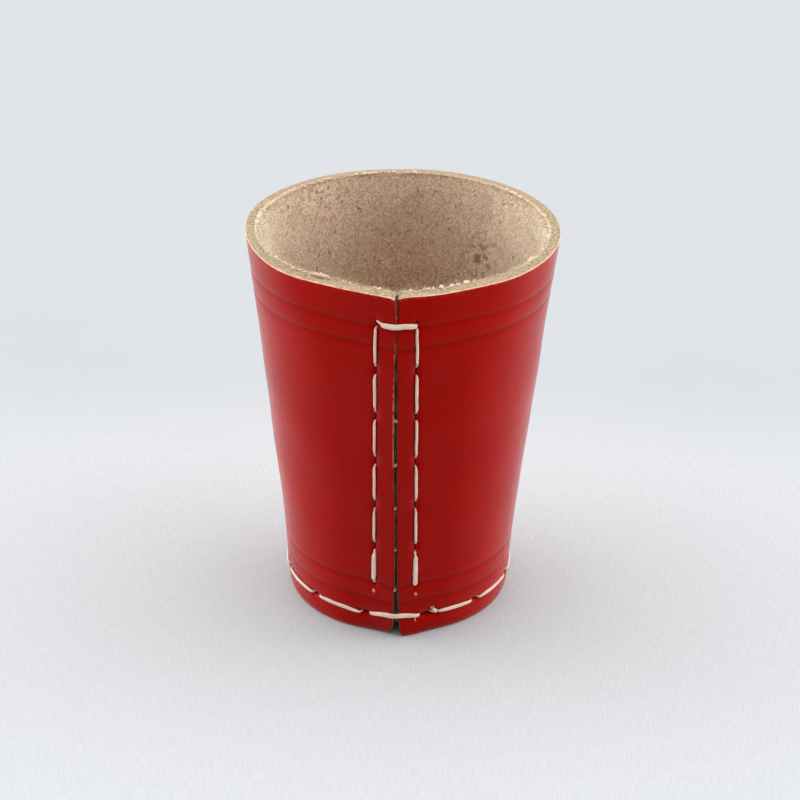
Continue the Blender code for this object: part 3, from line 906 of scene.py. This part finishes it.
def base_piece(flesh, grain, edge):
    rng = np.random.default_rng(SEED + 4)
    steps = 180
    turns = 2 * math.pi * (np.arange(steps) + 0.5) / steps - math.pi
    points, kinds = base_rings(turns)
    dish = 0.22 * MM * ripple(rng, points[..., 0], points[..., 1], 30 * MM, 6)
    on_disc = np.minimum(1, np.maximum(0, (points[..., 2] - UNDERSIDE + 1.0 * MM) / MM))
    points[..., 2] += dish * on_disc - 0.1 * MM
    faces = grid_faces(len(points), steps, columns_closed=True)
    last = (len(points) - 1) * steps
    faces += [list(range(steps))[::-1], list(range(last, last + steps))]
    mesh = new_mesh("base", points, faces)
    # The flange's outer side is coloured darker below the floor; its cut edge is read as the middle of the
    # hide
    below_floor = smooth_step(FLOOR_HEIGHT, FLOOR_HEIGHT - 3 * MM, points[..., 2])
    stained = (kinds == BASE_FLESH)[:, None] * below_floor
    depth = np.broadcast_to((kinds == BASE_CUT)[:, None] * 0.5, points.shape[:2])
    add_attributes(mesh, stained=stained, depth=depth)
    made = link("leather_base", mesh, [flesh, grain, edge], "base_leather")
    ring_kind = np.where(kinds == np.roll(kinds, -1), kinds, BASE_CUT)[:-1]
    set_materials(mesh, np.concatenate([np.repeat(ring_kind, steps), [BASE_FLESH, BASE_GRAIN]]))
    mesh.update()
    mesh.set_sharp_from_angle(angle=math.radians(55))
    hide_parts("cup_base")


# ---- Threads


def corner_cut(rows, times):
    """Rounds a list of rows of numbers by cutting its corners."""
    for _ in range(times):
        first = 0.75 * rows[:-1] + 0.25 * rows[1:]
        second = 0.25 * rows[:-1] + 0.75 * rows[1:]
        between = np.stack([first, second], axis=1).reshape(-1, rows.shape[1])
        rows = np.concatenate([rows[:1], between, rows[-1:]])
    return rows


def resampled(rows, step):
    """The same route with points an even step apart."""
    way = np.concatenate([[0], np.cumsum(np.linalg.norm(np.diff(rows[:, :3], axis=0), axis=1))])
    marks = np.linspace(0, way[-1], max(int(way[-1] / step), 3))
    return np.stack([np.interp(marks, way, rows[:, k]) for k in range(rows.shape[1])], axis=1), marks


RING = 14


def sweep(name, rows, material, slot, rng, step=0.3 * MM):
    """A flattened thread along rows of (x, y, z, side x, y, z, width, thickness)."""
    rows, marks = resampled(corner_cut(np.array(rows), 2), step)
    centre, side = rows[:, :3], rows[:, 3:6]
    width, thick = rows[:, 6:7], rows[:, 7:8]
    ahead = unit(np.gradient(centre, axis=0))
    side = unit(side - ahead * (side * ahead).sum(1, keepdims=True))
    up = np.cross(ahead, side)
    angle = 2 * math.pi * np.arange(RING) / RING
    swell = 1 + 0.06 * line_noise(rng, marks / (1.6 * MM), 900)[:, None]
    flat = 0.8  # below 1 squares the section's corners off
    across = np.sign(np.cos(angle)) * np.abs(np.cos(angle)) ** flat
    through = np.sign(np.sin(angle)) * np.abs(np.sin(angle)) ** flat
    strands = 1 + 0.035 * np.cos(5 * angle[None, :] + marks[:, None] / (1.1 * MM))
    offset_side = (width * swell / 2 * across[None, :] * strands)[..., None] * side[:, None, :]
    offset_up = (thick / 2 * through[None, :] * strands)[..., None] * up[:, None, :]
    points = centre[:, None, :] + offset_side + offset_up
    count = len(marks)
    faces = grid_faces(count, RING, columns_closed=True)
    faces += [list(range(RING)), list(range((count - 1) * RING, count * RING))[::-1]]
    mesh = new_mesh(name, points, faces)
    from_middle = np.abs(angle[None, :] / math.pi - 1)
    add_attributes(mesh, along=marks[:, None] + 0 * from_middle, round=from_middle + 0 * marks[:, None])
    return link(name, mesh, [material], slot)


OUT = 0.16 * MM  # how far the middle of a thread is over the leather


def node(place, side, width, thick):
    return [*place, *side, width * MM, thick * MM]


def seam_point(side, height, depth, aside=0.0):
    return flat_point(side, seam_margin(height) + aside, height, depth)


def flat_way(side, height):
    """Direction along a flat, away from the ridge."""
    return unit(flat_point(side, 10 * MM, height, 0) - flat_point(side, 0, height, 0))


def seam_pass(side, height):
    """Through the wall at a hole beside the seam, from outside to inside."""
    way = flat_way(side, height)
    return [
        node(seam_point(side, height, 0.35 * MM), way, 0.5, 0.6),
        node(seam_point(side, height, LEATHER - 0.3 * MM), way, 0.6, 0.6),
        node(seam_point(side, height, LEATHER + 0.45 * MM), way, 0.6, 0.6),
    ]


# Heights in mm of the visible ends of each stitch, from the rim down; they were sewn by hand
LEFT_STITCHES = ((91.7, 82.0), (78.9, 69.5), (66.1, 56.4), (52.7, 42.8), (39.1, 30.0), (25.9, 17.4))
RIGHT_STITCHES = ((91.9, 82.0), (79.1, 68.7), (66.4, 56.0), (52.6, 43.0), (39.8, 29.4), (25.3, 16.0))
STITCH_WIDTHS = (0.70, 0.74, 0.68, 0.72, 0.68, 1.22)
# Along a stitch: share of its length, share of its width, and how far it is sunk into the leather
STITCH_SHAPE = (
    (0.0, 0.4, 0.9),
    (0.04, 0.75, 0.2),
    (0.10, 0.97, 0),
    (0.3, 1.0, 0),
    (0.5, 1.02, 0),
    (0.7, 1.0, 0),
    (0.90, 0.97, 0),
    (0.96, 0.72, 0.2),
    (1.0, 0.4, 0.9),
)


def seam_dash(side, number, rng):
    """One stitch on the grain side from a hole down to the next, pointed where it goes in."""
    upper, lower = (LEFT_STITCHES if side < 0 else RIGHT_STITCHES)[number]
    width = STITCH_WIDTHS[number]
    lean = rng.uniform(-0.12, 0.12) * MM
    rows = []
    for share, size, sunk in STITCH_SHAPE:
        height = blend(upper, lower, share) * MM
        aside = lean * (share - 0.5) + rng.uniform(-0.05, 0.05) * MM
        depth = -OUT * (1 - 2 * sunk)
        rows.append(node(seam_point(side, height, depth, aside), flat_way(side, height), width * size, 0.5))
    return rows


def sagging(side, height):
    """Across the gap from one side, dipping into it, so that the strand shows from outside."""
    reach = 0.4 * MM if height > 20 * MM else 1.0 * MM
    return [node(flat_point(way, reach, height, 0.9 * MM), UPWARD, 0.75, 0.5) for way in (side, -side)]


def seam_strand(first_side, bow, rng):
    """One half of the seam's thread from its top hole down, changing sides inside at each row."""
    heights = seam_rows()
    rows = []
    side = first_side
    for number, height in enumerate(heights):
        above = height + (SEAM_PASS if number else TOP_PASS[side > 0])
        rows += seam_pass(side, above)
        if number == SEAM_ROWS - 1:
            break
        inside = seam_point(side, height, LEATHER + 0.25 * MM)
        if bow or number < 2:
            rows.append(node((0, inside[1] - 0.5 * MM + bow, height), UPWARD, 0.8, 0.55))
        else:
            rows += sagging(side, height - 0.3 * MM)
        side = -side
        rows += seam_pass(side, height - SEAM_PASS)[::-1]
        rows += seam_dash(side, number, rng)
    return rows


def seam_thread_piece(material):
    rng = np.random.default_rng(SEED + 2)
    margin = seam_margin(TOP_ROW)
    over = []
    # The bar over the seam's top, from its left end to its right one
    for side, along, height, width, out in (
        (-1, margin - 1.4 * MM, 93.15, 0.5, -0.1),
        (-1, margin - 1.75 * MM, 93.05, 1.0, 0.25),
        (-1, margin - 2.3 * MM, 93.0, 1.3, 0.3),
        (-1, 2.0 * MM, 93.08, 1.38, 0.3),
        (-1, 0.3 * MM, 93.2, 1.38, 0.25),
        (1, 0.4 * MM, 93.2, 1.36, 0.25),
        (1, 2.4 * MM, 93.0, 1.36, 0.3),
        (1, margin - 1.3 * MM, 92.75, 1.36, 0.35),
        (1, margin - 0.5 * MM, 92.6, 1.2, 0.3),
        (1, margin - 0.05 * MM, 92.55, 0.6, -0.1),
    ):
        over.append(node(flat_point(side, along, height * MM, -out * MM), UPWARD, width, 0.45))
    left = seam_strand(-1, 0, rng)
    right = seam_strand(1, 1.1 * MM, rng)
    end_tails(left, right)
    thread = sweep("seam_stitching", left[::-1] + over + right, material, "thread", rng)
    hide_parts("seam_thread")


def end_tails(left, right):
    """The two ends meet inside over the floor and stand up side by side."""
    for rows, lean in ((left, -1), (right, 1)):
        x, y, z = rows[-1][:3]
        if lean < 0:
            rows += sagging(math.copysign(1, x), seam_rows()[-1] - 0.4 * MM)
        rows.append(node((x * 0.4, y + 0.1 * MM, z), UPWARD, 0.8, 0.6))
        rows.append(node((-x * 0.1, y + (0.3 + 0.5 * (lean > 0)) * MM, z + 0.6 * MM), UPWARD, 0.8, 0.6))
        across = np.array([1.0, 0.0, 0.0])
        rows.append(node((-x * 0.35, y + 0.2 * MM, z + 2.2 * MM), across, 0.8, 0.55))
        rows.append(node((-x * 0.45, y + 0.1 * MM, z + 3.6 * MM), across, 0.9, 0.4))


def base_turn(hole):
    turn = 2 * math.pi * (hole + 0.5) / BASE_HOLES
    return turn if turn <= math.pi else turn - 2 * math.pi


def ring_point(turn, height, depth):
    """Point of the wall by its angle round the axis, which is 0 at the seam and grows towards +X."""
    side = math.copysign(1, turn)
    along = along_of_turn(np.array(abs(turn)), height)
    return wall_point(side, along, np.array(height), np.array(depth))


def base_axes(hole):
    turn = base_turn(hole)
    step = math.radians(1)
    middle = ring_point(turn, BASE_ROW, 0)
    along = unit(ring_point(turn + step, BASE_ROW, 0) - ring_point(turn - step, BASE_ROW, 0))
    return middle, along, np.cross([0, 0, 1], along)


def base_point(hole, along, lift, depth):
    middle, way, inward = base_axes(hole)
    return middle + way * along + inward * depth + np.array([0, 0, lift])


INSIDE = LEATHER + CLEARANCE + BASE_LEATHER


def base_outer_run(hole, rng):
    """A stitch on the grain side from this hole to the next; the one over the seam is wider."""
    after = (hole + 1) % BASE_HOLES
    front = after == 0
    width = 1.35 if front else 0.98
    begin = BASE_PASS + (0 if hole else FIRST_HOLE_REACH)
    drop = -0.45 * MM if after == BASE_HOLES - 1 else 0
    rows = [
        node(base_point(hole, begin - 0.1 * MM, 0, 0.9 * MM), UPWARD, 0.5, 0.55),
        node(base_point(hole, begin + 0.15 * MM, 0, 0.1 * MM), UPWARD, 0.5 * width, 0.5),
        node(base_point(hole, begin + 0.6 * MM, 0, -OUT), UPWARD, 0.72 * width, 0.5),
    ]
    start, step = base_turn(hole), 2 * math.pi / BASE_HOLES
    for share in (0.26, 0.36, 0.5, 0.64, 0.74) if hole else (0.36, 0.5, 0.64, 0.74):
        turn = start + step * share
        turn = turn - 2 * math.pi if turn > math.pi else turn
        swell = 0.68 + 0.34 * math.sin(math.pi * share) if front else 0.9 + 0.12 * math.sin(math.pi * share)
        lift = rng.uniform(-0.08, 0.08) * MM
        if drop and share > 0.6:
            lift = drop * (share - 0.6) / 0.2
        if front:
            lift = 1.05 * MM * math.sin(math.pi * share) ** 2
        if front and share == 0.5:
            # Straight over the gap, from the left flat to the right one
            far, near = (1.6 * MM, 0.97, 1), (0.5 * MM, 1, 0.5)
            for side, (along, rise, out) in ((-1, far), (-1, near), (1, near), (1, far)):
                place = flat_point(side, along, BASE_ROW + rise * lift, -out * OUT)
                rows.append(node(place, UPWARD, width, 0.52))
            continue
        rows.append(node(ring_point(turn, BASE_ROW + lift, -OUT), UPWARD, width * swell, 0.52))
    rows += [
        node(base_point(after, -BASE_PASS - 0.6 * MM, drop, -OUT), UPWARD, 0.72 * width, 0.5),
        node(base_point(after, -BASE_PASS - 0.15 * MM, drop, 0.1 * MM), UPWARD, 0.5 * width, 0.5),
        node(base_point(after, -BASE_PASS + 0.1 * MM, drop, 0.9 * MM), UPWARD, 0.5, 0.55),
    ]
    return rows


def base_inner_run(hole):
    """A stitch inside the flange from this hole to the next, passing the other strand at both."""
    after = (hole + 1) % BASE_HOLES
    depth = INSIDE + 0.4 * MM
    cross = 0.95 * MM
    rows = [node(base_point(hole, -BASE_PASS if hole else BASE_PASS, 0, INSIDE - 0.4 * MM), UPWARD, 0.6, 0.6)]
    if hole:
        rows.append(node(base_point(hole, -BASE_PASS, 0.1 * MM, depth), UPWARD, 0.8, 0.55))
    rows.append(node(base_point(hole, BASE_PASS, cross if hole else 0.1 * MM, depth), UPWARD, 0.85, 0.55))
    rows.append(node(base_point(after, -BASE_PASS, -cross, depth), UPWARD, 0.85, 0.55))
    last = 0 if after == 0 else BASE_PASS
    if after == 0:
        rows.append(node(base_point(after, last, -cross, depth), UPWARD, 0.8, 0.55))
    rows.append(node(base_point(after, last, -0.1 * MM, depth), UPWARD, 0.8, 0.55))
    rows.append(node(base_point(after, last, 0, INSIDE - 0.4 * MM), UPWARD, 0.6, 0.6))
    return rows


def base_strand(outside_first, rng):
    rows = []
    for hole in range(BASE_HOLES):
        outside = (hole % 2 == 0) == outside_first
        rows += base_outer_run(hole, rng) if outside else base_inner_run(hole)
    return rows


def base_thread_piece(material):
    rng = np.random.default_rng(SEED + 3)
    tail_inside = [
        node(base_point(0, -BASE_PASS, 0, INSIDE + 0.4 * MM), UPWARD, 0.8, 0.55),
        node(base_point(0, -BASE_PASS - 0.4 * MM, 2.0 * MM, INSIDE + 0.4 * MM), UPWARD, 0.8, 0.5),
    ]
    tail_outside = [
        node(base_point(0, 2.0 * MM, -0.1 * MM, 0.9 * MM), UPWARD, 0.6, 0.5),
        node(base_point(0, 2.9 * MM, 0.2 * MM, -0.25 * MM), UPWARD, 0.8, 0.45),
        node(base_point(0, 3.3 * MM, 0.4 * MM, -0.55 * MM), UPWARD, 1.0, 0.35),
        node(base_point(0, 2.2 * MM, 1.25 * MM, -0.5 * MM), UPWARD, 0.8, 0.3),
    ]
    frayed_tail(tail_outside[-1], rng, material)
    inner_first = base_strand(False, rng) + tail_inside
    outer_first = base_strand(True, rng) + tail_outside
    thread = sweep("base_stitching", inner_first[::-1] + outer_first, material, "thread", rng)
    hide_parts("base_thread")


def frayed_tail(last, rng, material):
    """The cut end's filaments, fanned out beside the first base hole, and a wisp below the front stitch."""
    _, way, inward = base_axes(0)
    tuft, wisp = 26, 5
    roots = np.array(last[:3]) + rng.normal(0, 0.16, (tuft, 3)) * MM
    fan = UPWARD * 0.8 - way * rng.uniform(-0.3, 1.4, (tuft, 1)) - inward * rng.uniform(0, 0.5, (tuft, 1))
    heads = unit(fan) * rng.uniform(0.5, 1.2, (tuft, 1)) * MM
    low = base_point(0, -BASE_PASS - 1.3 * MM, -0.35 * MM, -OUT)
    roots = np.concatenate([roots, low + rng.normal(0, 0.06, (wisp, 3)) * MM])
    drops = unit(-UPWARD - 0.2 * inward + 0.1 * rng.normal(0, 1, (wisp, 3)))
    heads = np.concatenate([heads, drops * rng.uniform(0.9, 1.5, (wisp, 1)) * MM])
    count = tuft + wisp
    bends = rng.normal(0, 0.16, (count, 3)) * MM
    thick = rng.uniform(0.07, 0.12, count) * MM
    fibres("frayed_end", roots, heads, bends, thick, [material], np.zeros(count), "thread")


# ---- Stage


def stage():
    """A flat pale cloth with a fine weave, a shade deeper behind the cup, where more light falls on it."""
    mesh = bpy.data.meshes.new("floor")
    size = 6.0
    corners = [(-size, -size, 0), (size, -size, 0), (size, size, 0), (-size, size, 0)]
    mesh.from_pydata(corners, [], [(0, 1, 2, 3)])
    floor = bpy.data.objects.new("floor", mesh)
    bpy.context.scene.collection.objects.link(floor)
    n = material_nodes("pale_cloth", (0.65, 0.66, 0.68))
    weave = n.noise(2600, 2, 0.5, n.stretched((1, 0.1, 1)))
    near = n.mix(n.span(weave, 0.3, 0.7), (0.372, 0.382, 0.388), (0.402, 0.412, 0.418))
    far = n.mix(n.span(n.noise(30, 2), 0.3, 0.7), (0.328, 0.340, 0.348), (0.334, 0.345, 0.353))
    cloth = n.mix(n.span(n.axes()["Y"], 0.045, 0.12), near, far)
    mesh.materials.append(n.finish(cloth, 0.95, n.bump(weave, 0.0001, 0.3), Specular_IOR_Level=0.0))


def swung(first, second, angle):
    """The first axis turned towards the second by an angle, and the second with it."""
    turned = first * math.cos(angle) + second * math.sin(angle)
    return turned, second * math.cos(angle) - first * math.sin(angle)


def camera():
    """In front of the cup, a little to the right of its seam, and looking down on it."""
    distance, elevation = 0.51162, math.radians(29.861)
    turn = math.radians(1.837)
    aim = 42.19 * MM
    place = Vector((0, -distance * math.cos(elevation), distance * math.sin(elevation) + aim))
    ahead = Vector((0, math.cos(elevation), -math.sin(elevation)))
    right = Vector((1, 0, 0))
    up = right.cross(ahead)
    pitch, yaw, roll = math.radians(0.982), math.radians(-0.022), math.radians(0.755)
    ahead, up = swung(ahead, up, pitch)
    ahead, right = swung(ahead, right, yaw)
    right, up = swung(right, up, roll)
    axes = Matrix((right, up, -ahead)).transposed().to_4x4()
    axes.translation = place
    round_cup = Matrix.Translation((0, AXIS_Y, 0)) @ Matrix.Rotation(turn, 4, "Z")
    data = bpy.data.cameras.new("camera")
    data.lens = 90.115
    data.sensor_width = 36.0
    data.clip_start = 0.01
    data.clip_end = 50
    made = bpy.data.objects.new("camera", data)
    made.matrix_world = round_cup @ axes
    bpy.context.scene.collection.objects.link(made)
    bpy.context.scene.camera = made


# Strengths of the light; the even one comes from every direction
SIDE_LIGHT = 5.0
BACK_LIGHT = 1.7
TOP_LIGHT = 1.4
EVEN_LIGHT = 0.05


def lights():
    """A pale light tent: brightest at both sides, bright above and behind, dim on the camera's side."""
    n = Nodes(bpy.data.worlds.new("studio"), "Generated")
    x, y, z = n.axes()
    sides = n.span(n.math("ABSOLUTE", x), 0.42, 1.0, 0.0, SIDE_LIGHT)
    behind = n.span(y, 0.0, 0.7, 0.0, BACK_LIGHT)
    above = n.span(z, 0.3, 0.95, EVEN_LIGHT, EVEN_LIGHT + TOP_LIGHT)
    strength = n.math("ADD", n.math("ADD", sides, behind), above)
    n.give(n.tree.nodes["Background"], Strength=strength, Color=(0.98, 0.985, 1.0, 1))
    bpy.context.scene.world = n.owner


def main():
    bpy.context.scene.view_settings.view_transform = "Standard"
    red, edge, flesh, butt = red_leather(), cut_edge(), suede(), stained_edge()
    waxed = thread_material()
    pale_lint = lint_material("pale_lint", (0.42, 0.31, 0.195), (0.62, 0.49, 0.34))
    dark_lint = lint_material("dark_lint", (0.12, 0.05, 0.03), (0.30, 0.16, 0.10))
    wall_piece([red, edge, flesh, butt])
    rim_burr(pale_lint)
    rim_fibres([pale_lint])
    flesh_fibres([pale_lint, dark_lint])
    base_piece(flesh, red, edge)
    seam_thread_piece(waxed)
    base_thread_piece(waxed)
    stage()
    camera()
    lights()


main()
